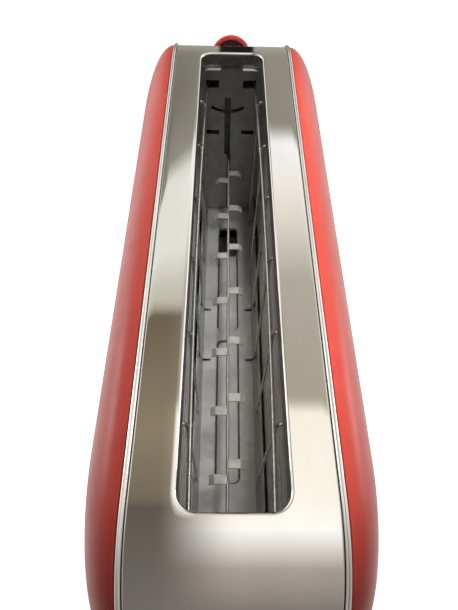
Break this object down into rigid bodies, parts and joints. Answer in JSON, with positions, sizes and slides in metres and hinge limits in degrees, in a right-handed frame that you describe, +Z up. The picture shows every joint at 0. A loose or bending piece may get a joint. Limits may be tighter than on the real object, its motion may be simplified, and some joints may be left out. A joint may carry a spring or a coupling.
{
  "type": "toaster",
  "caption": "Long-slot toaster with a polished steel top, bulging side panels, a sprung lever carriage, centring bread guides, a browning dial, buttons and a crumb tray.",
  "frame": {"origin": "on the table under the middle of the whole object, knob and tray handle included", "axes": "+Z up, +Y along the slot towards the lever end, +X to the right seen from the tray end"},
  "size_m": [0.1174, 0.36, 0.1912],
  "materials": {
    "polished_steel": "mirror-polished stainless steel",
    "trim_steel": "satin stainless steel",
    "red_plastic": "soft-gloss moulded red plastic",
    "black_plastic": "fine-textured black plastic",
    "chamber_steel": "aluminised steel sheet, satin",
    "wire_steel": "bright drawn wire",
    "carriage_steel": "plated steel strip",
    "blackened_steel": "black-oxide steel plate",
    "mica": "pressed mica sheet",
    "ribbon_alloy": "resistance ribbon, dull",
    "spring_steel": "spring wire",
    "magnet_steel": "soft iron, plated",
    "copper_winding": "enamelled copper winding",
    "contact_brass": "brass leaf",
    "circuit_board": "printed circuit board",
    "switch_plastic": "moulded plastic",
    "foot_rubber": "moulded rubber",
    "lead_insulation": "heat-proof wire insulation",
    "screw_steel": "zinc-plated screw"
  },
  "bodies": {
    "chassis": {"base_pan": "black_plastic", "feet": "foot_rubber", "left_side_panel": "red_plastic", "right_side_panel": "red_plastic", "top_plate": "polished_steel", "left_trim_strip": "trim_steel", "right_trim_strip": "trim_steel", "control_end_panel": "black_plastic", "rear_end_panel": "black_plastic", "left_heat_shield": "chamber_steel", "right_heat_shield": "chamber_steel", "far_end_wall": "chamber_steel", "near_end_wall": "chamber_steel", "chamber_floor": "chamber_steel", "left_mica_board": "mica", "right_mica_board": "mica", "left_heating_ribbon": "ribbon_alloy", "right_heating_ribbon": "ribbon_alloy", "guide_rod": "wire_steel", "guide_bracket": "chamber_steel", "lift_spring": "spring_steel", "main_board": "circuit_board", "magnet_core": "magnet_steel", "magnet_coil": "copper_winding", "contact_block": "switch_plastic", "contact_springs": "contact_brass", "control_board": "circuit_board", "dial_potentiometer": "switch_plastic", "button_switches": "switch_plastic", "cord_gland": "black_plastic", "terminal_block": "switch_plastic", "live_lead": "lead_insulation", "neutral_lead": "lead_insulation", "panel_screws": "screw_steel", "board_screws": "screw_steel", "base_screws": "screw_steel"},
    "carriage": {"bread_carriage": "carriage_steel", "carriage_slider": "blackened_steel", "lever_arm": "carriage_steel", "lever_knob": "black_plastic", "lever_ring": "red_plastic", "armature_plate": "magnet_steel"},
    "left_cage": {"left_guide_cage": "wire_steel"},
    "right_cage": {"right_guide_cage": "wire_steel"},
    "dial": {"browning_dial": "black_plastic"},
    "cancel_key": {"cancel_button": "black_plastic"},
    "defrost_key": {"defrost_button": "black_plastic"},
    "reheat_key": {"reheat_button": "black_plastic"},
    "tray": {"crumb_tray": "blackened_steel", "crumb_tray_handle": "black_plastic"}
  },
  "joints": [
    {"name": "lever_slide", "type": "slide", "parent": "chassis", "child": "carriage", "axis": [0, 0, -1], "range_m": [0, 0.045], "stiffness_N_per_m": 80, "springref_m": -0.06, "deforming": ["lift_spring"]},
    {"name": "left_cage_slide", "type": "slide", "parent": "chassis", "child": "left_cage", "axis": [1, 0, 0], "range_m": [0, 0.003]},
    {"name": "right_cage_slide", "type": "slide", "parent": "chassis", "child": "right_cage", "axis": [-1, 0, 0], "range_m": [0, 0.003]},
    {"name": "dial_turn", "type": "hinge", "parent": "chassis", "child": "dial", "pos_m": [0, 0.1625, 0.07403], "axis": [0, -1, 0], "range_deg": [-135, 135]},
    {"name": "cancel_press", "type": "slide", "parent": "chassis", "child": "cancel_key", "axis": [0, -1, 0], "range_m": [0, 0.0015], "stiffness_N_per_m": 500, "springref_m": -0.001},
    {"name": "defrost_press", "type": "slide", "parent": "chassis", "child": "defrost_key", "axis": [0, -1, 0], "range_m": [0, 0.0015], "stiffness_N_per_m": 500, "springref_m": -0.001},
    {"name": "reheat_press", "type": "slide", "parent": "chassis", "child": "reheat_key", "axis": [0, -1, 0], "range_m": [0, 0.0015], "stiffness_N_per_m": 500, "springref_m": -0.001},
    {"name": "tray_slide", "type": "slide", "parent": "chassis", "child": "tray", "axis": [0, -1, 0], "range_m": [0, 0.28]}
  ],
  "couplings": [
    {"joint": "left_cage_slide", "follows": "lever_slide", "ratio": 0.0666},
    {"joint": "right_cage_slide", "follows": "lever_slide", "ratio": 0.0666}
  ]
}
